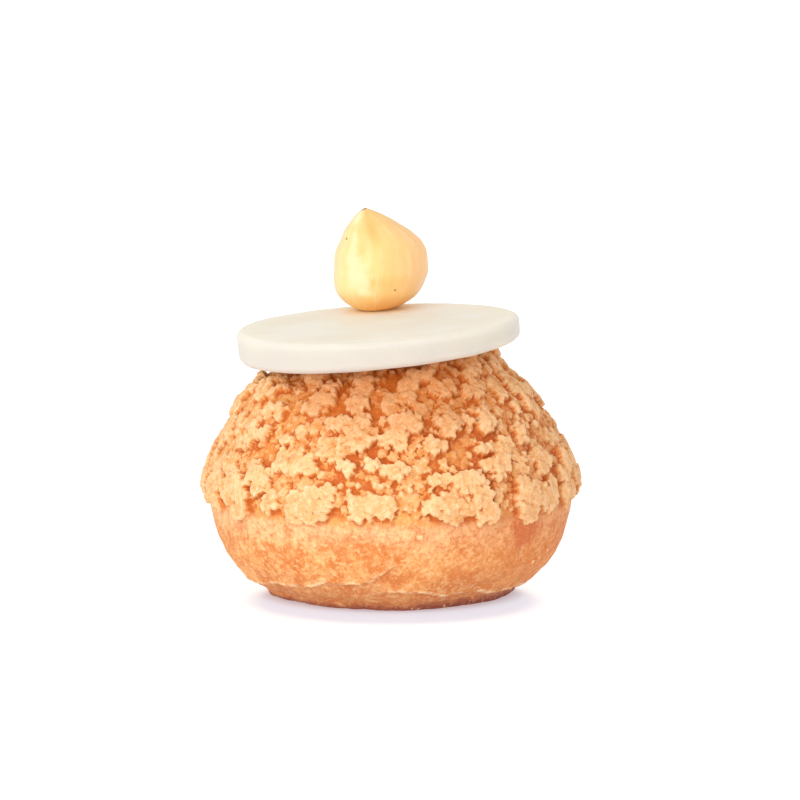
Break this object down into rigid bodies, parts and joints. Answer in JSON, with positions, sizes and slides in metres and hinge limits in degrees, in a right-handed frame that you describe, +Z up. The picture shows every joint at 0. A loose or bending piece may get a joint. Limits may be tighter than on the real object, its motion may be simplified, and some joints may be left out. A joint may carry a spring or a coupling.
{
  "type": "choux bun",
  "caption": "Round choux bun with a crackled craquelin crust, topped with a tilted disc of ivory icing and a blanched hazelnut.",
  "frame": {"origin": "middle of the bun's flat base", "axes": "+Z up, -Y towards the front, +X to the right as seen from the front"},
  "size_m": [0.0542, 0.0538, 0.0536],
  "materials": {
    "crust": "baked golden crust, matte, with paler crumbs",
    "icing": "smooth ivory icing, satin",
    "nut": "blanched, lightly toasted nut, satin"
  },
  "bodies": {
    "root": {"bun": "crust", "icing_disc": "icing", "hazelnut": "nut"}
  },
  "joints": []
}
